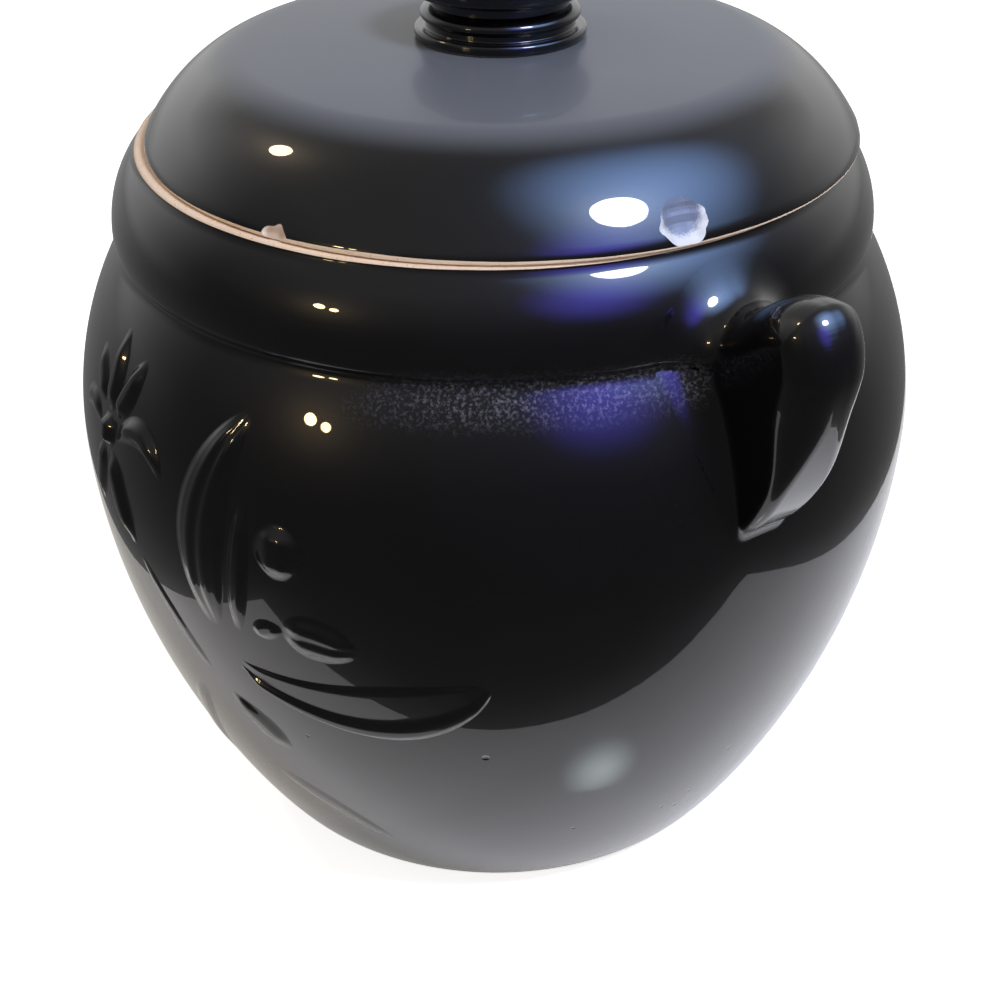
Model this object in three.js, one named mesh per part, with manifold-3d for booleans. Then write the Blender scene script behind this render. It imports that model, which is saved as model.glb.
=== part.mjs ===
// A lidded pottery jar in black glaze: an ovoid body with a collar, two ear lugs and a sprigged floral
// spray, and a domed lid that lifts off. Millimetres, +Z up, the ears along X, the spray towards -Y.
import * as THREE from 'three';
import { mergeVertices } from 'three/addons/utils/BufferGeometryUtils.js';
import Module from 'manifold-3d';

// Foot ring
const FOOT_HEIGHT = 3;
const FOOT_RADIUS = 69;
const FOOT_WIDTH = 7;

// Jar body: the rim and the widest circle are measured from the table, the flare in degrees
const RIM_HEIGHT = 197.3;
const RIM_RADIUS = 90;
const RIM_WIDTH = 7;
const RIM_ROUND = 1;
const NECK_HEIGHT = 23.3;
const NECK_SWELL = 8;
const CREASE_DEPTH = 0.8;
const CREASE_WIDTH = 1.6;
const BELLY_RADIUS = 113.1;
const BELLY_HEIGHT = 121.3;
const BELLY_FULLNESS = 58.5;
const BASE_RADIUS = 77;
const BASE_FLARE = 38;
const BASE_ROUND = 5;
const WALL = 6.5;
const FLOOR = 7;

// Ears: heights are measured from the crease, reaches from its radius
const EAR_REACH = 34.5;
const EAR_TIP_RISE = 7;
const EAR_CREST_REACH = 26.5;
const EAR_CREST_RISE = 21.5;
const EAR_ROOT_RISE = 1.5;
const EAR_DROP = 44;
const EAR_HEEL = 16;
const EAR_TOP_THICKNESS = 17;
const EAR_FOOT_THICKNESS = 11;
const EAR_ROUND = 7.5;

// Lid: slopes and azimuths in degrees, the azimuth from the right ear
const LID_RADIUS = 89.8;
const LID_BARE_EDGE = 1.5;
const LID_RISE = 19.6;
const LID_EDGE_SLOPE = 59;
const LID_EDGE_RUN = 13.8;
const LID_CROWN_RADIUS = 61;
const LID_CROWN_RUN = 8;
const LID_STEP_WIDTH = 8;
const LID_STEP_RISE = 0.6;
const LID_SEAT_WIDTH = 8;
const LID_WALL = 6;
const LID_SHIFT_AZIMUTH = 58;
const FLANGE_DEPTH = 8;
const FLANGE_WIDTH = 5;
const FLANGE_PLAY = 2.7;

// Knob, ring by ring from the lid up
const KNOB_BASE_RADIUS = 21.4;
const KNOB_BASE_HEIGHT = 2.4;
const KNOB_BASE_ROUND = 0.8;
const KNOB_WAIST_RADIUS = 18.6;
const KNOB_WAIST_HEIGHT = 1.4;
const KNOB_COLLAR_RADIUS = 19.8;
const KNOB_COLLAR_HEIGHT = 4;
const KNOB_NECK_RADIUS = 17.3;
const KNOB_NECK_HEIGHT = 6;
const KNOB_CAP_RADIUS = 23;
const KNOB_CAP_HEIGHT = 11.5;

// Floral spray: drawn flat on a field of this radius and height, each spine as its root, bend and tip
// in [along, up], and the side sprigs once for both sides
const FIELD_RADIUS = 113.1;
const FIELD_HEIGHT = 170.7;
const FIELD_LEFT_SHIFT = 16;
const SPRIG_EDGE = 0.9;
const SPRIG_POINT = 0.7;
const SPRIG_FULLNESS = 0.8;
const SIDE_SPRIGS = [
  { name: 'long_leaf', spine: [[48, 92.5], [87, 81], [111.5, 100]], width: 17, peak: 0.58, crown: 3 },
  { name: 'narrow_leaf', spine: [[49.5, 105], [52, 122], [54, 141]], width: 4.6, peak: 0.5, crown: 2.2 },
  { name: 'round_bud', spine: [[63.5, 125], [63.5, 131.5], [63.5, 138]], width: 12.4, peak: 0.5, crown: 3.4 },
  { name: 'almond_bud', spine: [[63.5, 109.8], [72, 110], [81.5, 108]], width: 12, peak: 0.45, crown: 3.4 },
  { name: 'bud_sepal', spine: [[55, 106.6], [58, 108.5], [62.3, 109.8]], width: 4.4, peak: 0.5, crown: 2 },
  { name: 'stub_leaf', spine: [[40, 77.5], [47, 71], [55, 63]], width: 9, peak: 0.6, crown: 2.6 },
  { name: 'low_leaf', spine: [[43, 47], [62, 41], [80, 24]], width: 7, peak: 0.45, crown: 1.8 },
];
const LONE_SPRIGS = [
  { name: 'flower_heart', spine: [[0, 135.2], [0, 139], [0, 142.8]], width: 7.6, peak: 0.5, crown: 3.4 },
  { name: 'top_petal', spine: [[0, 144.5], [1.5, 152], [0.5, 163.5]], width: 7, peak: 0.45, crown: 2.6 },
  { name: 'right_petal', spine: [[4.6, 145], [7.5, 149], [13.5, 160]], width: 6.5, peak: 0.5, crown: 2.6 },
  { name: 'left_petal', spine: [[-4.6, 145], [-7.5, 149], [-12, 156]], width: 6, peak: 0.5, crown: 1.6 },
  { name: 'right_curl', spine: [[5.5, 138.5], [18, 151], [26, 137.5]], width: 6, peak: 0.5, crown: 2.8 },
  { name: 'left_curl', spine: [[-5.5, 138.5], [-13, 146], [-19, 138]], width: 5, peak: 0.5, crown: 1.3 },
  { name: 'right_drop_petal', spine: [[2.5, 134], [6, 126], [11.5, 112.5]], width: 8, peak: 0.45, crown: 2.8 },
  { name: 'left_drop_petal', spine: [[-2.5, 134], [-5, 127], [-8, 116]], width: 6, peak: 0.45, crown: 1.6 },
  { name: 'right_tall_leaf', spine: [[41.5, 103], [36, 139], [52.5, 159.5]], width: 14.5, peak: 0.42, crown: 3 },
  { name: 'left_tall_leaf', spine: [[-92, 119], [-104, 132], [-97, 157]], width: 13, peak: 0.42, crown: 2.6 },
  { name: 'flower_stem', spine: [[34.5, 82.5], [26, 95], [13.2, 110.8]], width: 3.4, peak: 0.5, crown: 2.2 },
  { name: 'root_leaf', spine: [[26, 72], [14, 58], [10, 30]], width: 8, peak: 0.5, crown: 2.2 },
];

// Luted joints between clay pieces, and the lid on its seat
const SEAT_GAP = 0.3;

// Fineness of the facets
const TURN_STEPS = 48;
const KNOB_STEPS = 32;
const CURVE_PITCH = 10;
const INSIDE_PITCH = 20;
const KNOB_PITCH = 3;
const EAR_PITCH = 6;
const EAR_STEPS = 8;
const SPRIG_STEPS = 8;
const SPRIG_RIB_PITCH = 9;
const SAME_POINT = 1e-4;

// Values that follow from the sizes above
const baseHeight = FOOT_HEIGHT + SEAT_GAP;
const baseFlare = THREE.MathUtils.degToRad(BASE_FLARE);
const mouthRadius = RIM_RADIUS - RIM_WIDTH;
const neckRadius = RIM_RADIUS + NECK_SWELL;
const creaseRadius = neckRadius - CREASE_DEPTH;
const creaseHeight = RIM_HEIGHT - NECK_HEIGHT;
const creaseFoot = creaseHeight - CREASE_WIDTH / 2;
const creaseTop = creaseHeight + CREASE_WIDTH / 2;
const lidSeat = RIM_HEIGHT + SEAT_GAP;
const lidEdge = lidSeat + LID_BARE_EDGE;
const lidCrown = lidEdge + LID_RISE;
const lidTop = lidCrown + LID_STEP_RISE;
const lidSlope = THREE.MathUtils.degToRad(LID_EDGE_SLOPE);
const lidShift = FLANGE_PLAY - SEAT_GAP;
const lidShiftAzimuth = THREE.MathUtils.degToRad(LID_SHIFT_AZIMUTH);
const flangeRadius = mouthRadius - FLANGE_PLAY;
const frontAzimuth = -Math.PI / 2;

const blackGlaze = new THREE.MeshStandardMaterial({ color: 0x0c0b0e, roughness: 0.06, metalness: 0 });
const bareClay = new THREE.MeshStandardMaterial({ color: 0xc9a391, roughness: 0.85, metalness: 0 });

const wasm = await Module();
wasm.setup();

// Points along a path of radius and height, no further apart than the pitch where it is round.
function pointsOf(path, pitch) {
  const points = path.curves.flatMap((curve) => {
    const steps = curve.isLineCurve ? 1 : Math.max(2, Math.ceil(curve.getLength() / pitch));
    return curve.getPoints(steps);
  });
  return points.filter((point, i) => i === 0 || point.distanceTo(points[i - 1]) > SAME_POINT);
}

// Adds an arc that starts upright at a radius and height, and draws in to another radius above.
function addUprightArc(path, radius, height, topRadius, topHeight) {
  const rise = topHeight - height;
  const inset = radius - topRadius;
  const bend = (rise * rise + inset * inset) / (2 * inset);
  path.absarc(radius - bend, height, bend, 0, Math.asin(rise / bend), false);
}

// Adds the belly, from the middle of its base to the crease, at a depth below the glazed surface.
function addBelly(path, depth, floorHeight) {
  const edgeRadius = BASE_RADIUS - depth;
  const round = BASE_ROUND + depth;
  const out = Math.sin(baseFlare);
  const up = Math.cos(baseFlare);
  path.moveTo(0, floorHeight);
  path.lineTo(edgeRadius - round, floorHeight);
  path.quadraticCurveTo(edgeRadius, floorHeight, edgeRadius + round * out, floorHeight + round * up);
  path.bezierCurveTo(
    edgeRadius + (round + BASE_ROUND) * out,
    floorHeight + (round + BASE_ROUND) * up,
    BELLY_RADIUS - depth,
    BELLY_HEIGHT - BELLY_FULLNESS,
    BELLY_RADIUS - depth,
    BELLY_HEIGHT,
  );
  addUprightArc(path, BELLY_RADIUS - depth, BELLY_HEIGHT, creaseRadius - depth, creaseFoot);
}

// The jar's outside, from the middle of its base to the edge of its rim.
function jarOutside() {
  const path = new THREE.Path();
  addBelly(path, 0, baseHeight);
  path.lineTo(creaseRadius, creaseHeight);
  path.lineTo(neckRadius, creaseTop);
  addUprightArc(path, neckRadius, creaseTop, RIM_RADIUS, RIM_HEIGHT - RIM_ROUND);
  return pointsOf(path, CURVE_PITCH);
}

const outside = jarOutside();

// The point of the jar's outside at a height, as radius and height, pushed out square to the surface.
function outsideAt(height, proud) {
  const next = Math.max(2, outside.findIndex((point) => point.y > height));
  const lower = outside[next - 1];
  const upper = outside[next];
  const along = upper.clone().sub(lower);
  const point = lower.clone().addScaledVector(along, (height - lower.y) / along.y);
  return point.addScaledVector(new THREE.Vector2(along.y, -along.x).normalize(), proud);
}

// Turns an outline of radius and height about the upright axis.
function turned(outline, steps) {
  return new THREE.LatheGeometry(outline, steps).rotateX(Math.PI / 2);
}

function piece(name, geometry, material) {
  const mesh = new THREE.Mesh(geometry, material);
  mesh.name = name;
  return mesh;
}

// The hollow body: outside, flat bare rim and inside.
function jarBody() {
  const path = new THREE.Path();
  addBelly(path, WALL, baseHeight + FLOOR);
  path.lineTo(mouthRadius, RIM_HEIGHT - FLANGE_DEPTH);
  path.lineTo(mouthRadius, RIM_HEIGHT - RIM_ROUND);
  path.lineTo(mouthRadius + RIM_ROUND, RIM_HEIGHT);
  path.lineTo(RIM_RADIUS - RIM_ROUND, RIM_HEIGHT);
  const inside = pointsOf(path, INSIDE_PITCH).reverse();
  return piece('jar_body', turned([...outside, ...inside], TURN_STEPS), blackGlaze);
}

// A plain ring whose top may slope from its outer to its inner edge.
function ring(radius, width, foot, outerTop, innerTop) {
  const outline = [
    new THREE.Vector2(radius, foot),
    new THREE.Vector2(radius, outerTop),
    new THREE.Vector2(radius - width, innerTop),
    new THREE.Vector2(radius - width, foot),
    new THREE.Vector2(radius, foot),
  ];
  return turned(outline, TURN_STEPS);
}

// The unglazed ring that the jar stands on.
function footRing() {
  return piece('foot_ring', ring(FOOT_RADIUS, FOOT_WIDTH, 0, FOOT_HEIGHT, FOOT_HEIGHT), bareClay);
}

function solidOf(geometry) {
  const bare = geometry.clone();
  bare.deleteAttribute('normal');
  bare.deleteAttribute('uv');
  const merged = mergeVertices(bare, SAME_POINT);
  const corners = merged.index.array;
  const triangles = [];
  for (let i = 0; i < corners.length; i += 3) {
    const triangle = [corners[i], corners[i + 1], corners[i + 2]];
    if (new Set(triangle).size === 3) triangles.push(...triangle);
  }
  const vertProperties = new Float32Array(merged.attributes.position.array);
  const triVerts = new Uint32Array(triangles);
  return new wasm.Manifold(new wasm.Mesh({ numProp: 3, vertProperties, triVerts }));
}

function geometryOf(solid) {
  const mesh = solid.getMesh();
  const geometry = new THREE.BufferGeometry();
  geometry.setAttribute('position', new THREE.BufferAttribute(mesh.vertProperties, 3));
  geometry.setIndex(new THREE.BufferAttribute(mesh.triVerts, 1));
  geometry.computeVertexNormals();
  return geometry;
}

// The space that the jar fills, with the luting gap around it.
function jarKeepOut() {
  const outline = outside.slice(1).map((point) => outsideAt(point.y, SEAT_GAP));
  const low = new THREE.Vector2(0, outline[0].y);
  const high = new THREE.Vector2(0, outline.at(-1).y);
  return solidOf(turned([low, ...outline, high], TURN_STEPS));
}

// Joins rings of points, each with as many points as the next, into one closed skin.
function loft(rings) {
  const count = rings[0].length;
  const triangles = [];
  for (let start = 0; start < (rings.length - 1) * count; start += count) {
    for (let side = 0; side < count; side += 1) {
      const here = start + side;
      const beside = start + (side + 1) % count;
      triangles.push(here, beside, here + count);
      triangles.push(beside, beside + count, here + count);
    }
  }
  const last = (rings.length - 1) * count;
  for (let side = 1; side + 1 < count; side += 1) {
    triangles.push(0, side + 1, side);
    triangles.push(last, last + side, last + side + 1);
  }
  const geometry = new THREE.BufferGeometry().setFromPoints(rings.flat());
  geometry.setIndex(triangles);
  geometry.computeVertexNormals();
  return geometry;
}

// The ear seen from its side: from the collar up to its crest, round its tip and down to its heel.
function earOutline() {
  const root = outsideAt(creaseHeight + EAR_ROOT_RISE, -WALL / 2);
  const heel = outsideAt(creaseHeight - EAR_DROP, -WALL / 2);
  const crest = new THREE.Vector2(creaseRadius + EAR_CREST_REACH, creaseHeight + EAR_CREST_RISE);
  const tip = new THREE.Vector2(creaseRadius + EAR_REACH, creaseHeight + EAR_TIP_RISE);
  const brow = (root.x + crest.x) / 2;
  const path = new THREE.Path();
  path.moveTo(root.x, root.y);
  path.bezierCurveTo(brow, root.y, brow, crest.y, crest.x, crest.y);
  path.bezierCurveTo((crest.x + tip.x) / 2, crest.y, tip.x, (crest.y + tip.y) / 2, tip.x, tip.y);
  path.bezierCurveTo(tip.x, tip.y - EAR_HEEL / 4, heel.x + EAR_HEEL, heel.y + EAR_HEEL / 2, heel.x, heel.y);
  return pointsOf(path, EAR_PITCH);
}

// A solid ear lug, thinner downwards: round-edged sections that fan out from a core inside the jar's wall.
function ear(name, azimuth) {
  const core = new THREE.Vector2(mouthRadius, creaseHeight - EAR_DROP / 2);
  const rings = earOutline().map((edge) => {
    const fall = THREE.MathUtils.clamp((creaseHeight - edge.y) / EAR_DROP, 0, 1);
    const half = THREE.MathUtils.lerp(EAR_TOP_THICKNESS, EAR_FOOT_THICKNESS, fall) / 2;
    const outwards = edge.clone().sub(core).normalize();
    const shoulder = edge.clone().addScaledVector(outwards, -EAR_ROUND);
    const section = [new THREE.Vector3(core.x, EAR_FOOT_THICKNESS / 2, core.y)];
    for (let step = 0; step <= EAR_STEPS; step += 1) {
      const turn = Math.PI * (0.5 - step / EAR_STEPS);
      const place = shoulder.clone().addScaledVector(outwards, EAR_ROUND * Math.cos(turn));
      section.push(new THREE.Vector3(place.x, half * Math.sin(turn), place.y));
    }
    section.push(new THREE.Vector3(core.x, -EAR_FOOT_THICKNESS / 2, core.y));
    return section;
  });
  const mesh = piece(name, geometryOf(solidOf(loft(rings)).subtract(jarKeepOut())), blackGlaze);
  mesh.rotation.z = azimuth;
  return mesh;
}

// A place on the jar's front, from its place on the spray's flat field and how far it stands proud.
function onJar(along, up, proud) {
  const height = baseHeight + up * (creaseFoot - baseHeight) / FIELD_HEIGHT;
  const point = outsideAt(height, proud);
  const azimuth = frontAzimuth + along / FIELD_RADIUS;
  return new THREE.Vector3(point.x * Math.cos(azimuth), point.x * Math.sin(azimuth), point.y);
}

// A sprig of pressed clay on the belly: a leaf, petal or bud along a bent spine, crowned across its width.
function sprig(name, { spine, width, peak, crown }, side, shift) {
  const places = spine.map(([along, up]) => new THREE.Vector2(side * (along + shift), up));
  const curve = new THREE.QuadraticBezierCurve(...places);
  const lean = Math.log(0.5) / Math.log(peak);
  const ribs = 2 * Math.ceil(width / SPRIG_RIB_PITCH);
  const rings = [];
  for (let step = 0; step <= SPRIG_STEPS; step += 1) {
    const along = (1 - Math.cos(Math.PI * step / SPRIG_STEPS)) / 2;
    const swell = Math.sin(Math.PI * along ** lean) ** SPRIG_FULLNESS;
    const halfWidth = Math.max(SPRIG_POINT, swell * width / 2);
    const middle = curve.getPoint(along);
    const tangent = curve.getTangent(along);
    const sideways = new THREE.Vector2(tangent.y, -tangent.x);
    const top = [];
    const bed = [];
    for (let rib = 0; rib <= ribs; rib += 1) {
      const across = 2 * rib / ribs - 1;
      const place = middle.clone().addScaledVector(sideways, across * halfWidth);
      const rise = SPRIG_EDGE + (crown - SPRIG_EDGE) * swell * Math.sqrt(1 - across * across);
      top.push(onJar(place.x, place.y, SEAT_GAP + rise));
      bed.unshift(onJar(place.x, place.y, SEAT_GAP));
    }
    rings.push([...top, ...bed]);
  }
  return piece(name, loft(rings), blackGlaze);
}

// The lid's outside, from its bare lower edge over the crown and the step to the middle.
function lidOutside() {
  const stepRadius = LID_CROWN_RADIUS - LID_STEP_WIDTH;
  const stepMiddle = LID_CROWN_RADIUS - LID_STEP_WIDTH / 2;
  const path = new THREE.Path();
  path.moveTo(LID_RADIUS, lidSeat);
  path.lineTo(LID_RADIUS, lidEdge);
  path.bezierCurveTo(
    LID_RADIUS - LID_EDGE_RUN * Math.cos(lidSlope),
    lidEdge + LID_EDGE_RUN * Math.sin(lidSlope),
    LID_CROWN_RADIUS + LID_CROWN_RUN,
    lidCrown,
    LID_CROWN_RADIUS,
    lidCrown,
  );
  path.bezierCurveTo(stepMiddle, lidCrown, stepMiddle, lidTop, stepRadius, lidTop);
  path.lineTo(0, lidTop);
  return pointsOf(path, CURVE_PITCH / 2);
}

// The lid's hollow underside, from the inner edge of its flat seat up to the middle.
function lidUnderside() {
  const seatRadius = LID_RADIUS - LID_SEAT_WIDTH;
  const ceiling = lidCrown - LID_WALL;
  const path = new THREE.Path();
  path.moveTo(seatRadius, lidSeat);
  path.bezierCurveTo(
    seatRadius - LID_EDGE_RUN * Math.cos(lidSlope),
    lidSeat + LID_EDGE_RUN * Math.sin(lidSlope),
    LID_CROWN_RADIUS,
    ceiling,
    LID_CROWN_RADIUS - LID_CROWN_RUN,
    ceiling,
  );
  path.lineTo(0, ceiling);
  return pointsOf(path, CURVE_PITCH);
}

const underside = lidUnderside();

function lidDome() {
  const outline = [...underside.toReversed(), ...lidOutside()];
  return piece('lid_dome', turned(outline, TURN_STEPS), blackGlaze);
}

function undersideAt(radius) {
  const next = underside.findIndex((point) => point.x < radius);
  const outer = underside[next - 1];
  const inner = underside[next];
  return THREE.MathUtils.mapLinear(radius, outer.x, inner.x, outer.y, inner.y);
}

// The ring under the dome that drops into the mouth and keeps the lid from sliding off.
function lidFlange() {
  const foot = RIM_HEIGHT - FLANGE_DEPTH;
  const outerTop = undersideAt(flangeRadius) - SEAT_GAP;
  const innerTop = undersideAt(flangeRadius - FLANGE_WIDTH) - SEAT_GAP;
  return piece('lid_flange', ring(flangeRadius, FLANGE_WIDTH, foot, outerTop, innerTop), bareClay);
}

// The knob: base ring, waist, collar, neck and rounded cap.
function lidKnob() {
  const foot = lidTop + SEAT_GAP;
  const baseTop = foot + KNOB_BASE_HEIGHT;
  const collarFoot = baseTop + KNOB_WAIST_HEIGHT;
  const collarTop = collarFoot + KNOB_COLLAR_HEIGHT;
  const collarPull = 2 * KNOB_COLLAR_RADIUS - (KNOB_WAIST_RADIUS + KNOB_NECK_RADIUS) / 2;
  const capFoot = collarTop + KNOB_NECK_HEIGHT;
  const top = capFoot + KNOB_CAP_HEIGHT;
  const path = new THREE.Path();
  path.moveTo(0, foot);
  path.lineTo(KNOB_BASE_RADIUS - KNOB_BASE_ROUND, foot);
  path.quadraticCurveTo(KNOB_BASE_RADIUS, foot, KNOB_BASE_RADIUS, foot + KNOB_BASE_ROUND);
  path.lineTo(KNOB_BASE_RADIUS, baseTop);
  path.lineTo(KNOB_WAIST_RADIUS, baseTop);
  path.lineTo(KNOB_WAIST_RADIUS, collarFoot);
  path.quadraticCurveTo(collarPull, (collarFoot + collarTop) / 2, KNOB_NECK_RADIUS, collarTop);
  path.bezierCurveTo(KNOB_NECK_RADIUS, capFoot, KNOB_CAP_RADIUS, collarTop, KNOB_CAP_RADIUS, capFoot);
  path.bezierCurveTo(KNOB_CAP_RADIUS, (capFoot + top) / 2, KNOB_CAP_RADIUS / 2, top, 0, top);
  return piece('lid_knob', turned(pointsOf(path, KNOB_PITCH), KNOB_STEPS), blackGlaze);
}

const jar = new THREE.Group();
jar.add(jarBody(), footRing(), ear('right_ear', 0), ear('left_ear', Math.PI));
for (const design of SIDE_SPRIGS) {
  jar.add(sprig(`right_${design.name}`, design, 1, 0));
  jar.add(sprig(`left_${design.name}`, design, -1, FIELD_LEFT_SHIFT));
}
for (const design of LONE_SPRIGS) {
  jar.add(sprig(design.name, design, 1, 0));
}

const lid = new THREE.Group();
lid.add(lidDome(), lidFlange(), lidKnob());
lid.position.set(lidShift * Math.cos(lidShiftAzimuth), lidShift * Math.sin(lidShiftAzimuth), 0);

const cookieJar = new THREE.Group();
cookieJar.add(jar, lid);

export default cookieJar;
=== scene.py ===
import bisect
import math

import bpy
import numpy as np
from mathutils import Matrix, Vector


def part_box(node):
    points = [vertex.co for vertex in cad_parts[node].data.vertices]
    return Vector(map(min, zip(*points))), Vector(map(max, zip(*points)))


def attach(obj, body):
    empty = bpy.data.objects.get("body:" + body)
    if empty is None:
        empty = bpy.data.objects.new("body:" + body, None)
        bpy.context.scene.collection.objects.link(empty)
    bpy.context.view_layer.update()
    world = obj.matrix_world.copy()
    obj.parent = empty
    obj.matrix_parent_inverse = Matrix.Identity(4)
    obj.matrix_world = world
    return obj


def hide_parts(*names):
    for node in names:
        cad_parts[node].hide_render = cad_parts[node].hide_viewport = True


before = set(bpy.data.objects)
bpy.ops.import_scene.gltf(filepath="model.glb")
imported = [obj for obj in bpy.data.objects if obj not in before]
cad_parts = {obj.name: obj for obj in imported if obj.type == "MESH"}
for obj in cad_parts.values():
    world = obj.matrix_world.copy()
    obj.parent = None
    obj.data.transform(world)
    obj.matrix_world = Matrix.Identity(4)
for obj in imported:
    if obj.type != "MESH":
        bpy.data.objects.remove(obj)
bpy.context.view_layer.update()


# Camera
# The jar is looked down on from its front right, so that the right ear and half of the sprigged face
# show, and the top of the knob runs out of the picture.
VIEW_POINT = Vector((0.3077, -0.1923, 0.3219))
VIEW_AZIMUTH = math.radians(57.82)
VIEW_DIP = math.radians(33.64)
VIEW_ROLL = math.radians(-0.57)
LENS = 52.2
SENSOR_WIDTH = 36

camera_data = bpy.data.cameras.new("camera")
camera_data.lens = LENS
camera_data.sensor_width = SENSOR_WIDTH
camera = bpy.data.objects.new("camera", camera_data)
camera.matrix_world = (
    Matrix.Translation(VIEW_POINT)
    @ Matrix.Rotation(VIEW_AZIMUTH, 4, "Z")
    @ Matrix.Rotation(math.pi / 2 - VIEW_DIP, 4, "X")
    @ Matrix.Rotation(VIEW_ROLL, 4, "Z")
)
bpy.context.scene.collection.objects.link(camera)
bpy.context.scene.camera = camera


# Jar body
# The hollow belly and collar, turned in pinkish clay and dipped in black glaze inside and out.
# The flat rim that carries the lid is wiped bare before firing, so the clay shows there.
body_low, body_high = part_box("jar_body")
base_height = body_low.z
rim_height = body_high.z
belly_radius = body_high.x
BASE_RADIUS = 0.077
BASE_FLARE = math.radians(38)
BASE_ROUND = 0.005
BELLY_HEIGHT = 0.1213
BELLY_FULLNESS = 0.0585
CREASE_HEIGHT = 0.174
CREASE_FOOT = 0.1732
CREASE_RADIUS = 0.0972
CREASE_ROUND = 0.0008
COLLAR_RADIUS = 0.098
COLLAR_HEIGHT = 0.1768
RIM_RADIUS = 0.09
RIM_WIDTH = 0.007
RIM_ROUND = 0.001
RIM_GLAZED = 0.0004
MOUTH_DEPTH = 0.008
WALL = 0.0065
FLOOR = 0.007
GLAZE_WANDER = 0.00012
TURN_STEPS = 320
PROFILE_PITCH = 0.0018
SEATING_PITCH = 0.0003
SAME_POINT = 1e-6
SMOOTH_ANGLE = math.radians(40)


def curve_points(controls, pitch):
    """The points of a Bezier curve after its start, about a pitch apart."""
    controls = [Vector(control) for control in controls]
    length = sum((there - here).length for here, there in zip(controls, controls[1:]))
    count = max(3, math.ceil(length / pitch))
    points = []
    for step in range(1, count + 1):
        level = controls
        while len(level) > 1:
            level = [here.lerp(there, step / count) for here, there in zip(level, level[1:])]
        points.append(level[0])
    return points


def upright_arc(start, end, pitch):
    """The points of an arc that leaves its start upright and draws in to its end above."""
    inset = start[0] - end[0]
    rise = end[1] - start[1]
    radius = (inset**2 + rise**2) / (2 * inset)
    sweep = math.asin(rise / radius)
    count = max(3, math.ceil(radius * sweep / pitch))
    turns = [sweep * step / count for step in range(1, count + 1)]
    return [Vector((start[0] - radius * (1 - math.cos(a)), start[1] + radius * math.sin(a))) for a in turns]


def belly_outline(depth, floor_height, pitch):
    """The belly from the middle of its base up to the crease, at a depth below the outside."""
    edge = Vector((BASE_RADIUS - depth, floor_height))
    flare = Vector((math.sin(BASE_FLARE), math.cos(BASE_FLARE)))
    widest = Vector((belly_radius - depth, BELLY_HEIGHT))
    turn = BASE_ROUND + depth
    points = [Vector((0, floor_height)), Vector((edge.x - turn, floor_height))]
    points += curve_points([points[-1], edge, edge + flare * turn], pitch)
    lower = edge + flare * (turn + BASE_ROUND)
    upper = widest - Vector((0, BELLY_FULLNESS))
    points += curve_points([points[-1], lower, upper, widest], pitch)
    return points + upright_arc(widest, (CREASE_RADIUS - depth, CREASE_FOOT), pitch)


def jar_outline(pitch):
    """The outside of the jar: belly, glaze-filled crease and collar, up to the rim."""
    points = belly_outline(0, base_height, pitch)
    crease = points[-1]
    groove = crease + Vector((-CREASE_ROUND / 4, CREASE_ROUND))
    collar = Vector((COLLAR_RADIUS, COLLAR_HEIGHT))
    tuck = groove + Vector((CREASE_ROUND / 2, CREASE_ROUND))
    points += curve_points([crease, groove, tuck], pitch / 6)
    points += curve_points([tuck, (collar.x, (tuck.y + collar.y) / 2), collar], pitch / 4)
    return points + upright_arc(collar, (RIM_RADIUS, rim_height - RIM_ROUND), pitch)


def turned(name, outline, steps, centre=(0, 0)):
    """Turns a chain of points of radius and height about an upright axis, as on a wheel."""
    bpy.ops.object.select_all(action="DESELECT")
    bpy.ops.mesh.primitive_plane_add(size=1)
    piece = bpy.context.object
    piece.name = name
    piece.data.name = name
    bpy.ops.object.mode_set(mode="EDIT")
    bpy.ops.mesh.merge(type="CENTER")
    bpy.ops.transform.translate(value=(centre[0] + outline[0].x, centre[1], outline[0].y))
    for here, there in zip(outline, outline[1:]):
        step = (there.x - here.x, 0, there.y - here.y)
        bpy.ops.mesh.extrude_vertices_move(TRANSFORM_OT_translate={"value": step})
    bpy.ops.mesh.select_all(action="SELECT")
    bpy.ops.mesh.spin(steps=steps, angle=math.tau, center=(*centre, 0), axis=(0, 0, 1))
    bpy.ops.mesh.select_all(action="SELECT")
    bpy.ops.mesh.remove_doubles(threshold=SAME_POINT)
    bpy.ops.mesh.normals_make_consistent(inside=False)
    bpy.ops.object.mode_set(mode="OBJECT")
    bpy.ops.object.shade_smooth_by_angle(angle=SMOOTH_ANGLE)
    return piece


def wander(azimuth, start):
    """A smooth hand-made unevenness round a circle, between about -1 and 1."""
    slow = math.sin(5 * azimuth + start)
    middling = math.sin(13 * azimuth + 2.3 * start)
    quick = math.sin(29 * azimuth + 4.1 * start)
    return 0.45 * slow + 0.35 * middling + 0.2 * quick


def linear(colour):
    """An sRGB hex colour as the linear colour that a shader takes."""
    channels = [int(colour[start : start + 2], 16) / 255 for start in (1, 3, 5)]
    return (*[c / 12.92 if c <= 0.04045 else ((c + 0.055) / 1.055) ** 2.4 for c in channels], 1)


# The two colours of a colour Mix node and its result, which it keeps by number.
COLOUR_A = 6
COLOUR_B = 7
MIXED = 2


def add_node(tree, kind, inputs=None, **settings):
    """Adds a node with its settings, and its inputs as values or as links from other nodes."""
    added = tree.nodes.new(kind)
    for name, value in settings.items():
        setattr(added, name, value)
    for name, value in (inputs or {}).items():
        if isinstance(value, bpy.types.NodeSocket):
            tree.links.new(value, added.inputs[name])
        else:
            added.inputs[name].default_value = value
    return added


outside = jar_outline(PROFILE_PITCH)
seating = jar_outline(SEATING_PITCH)
seating_heights = [point.y for point in seating]


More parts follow.
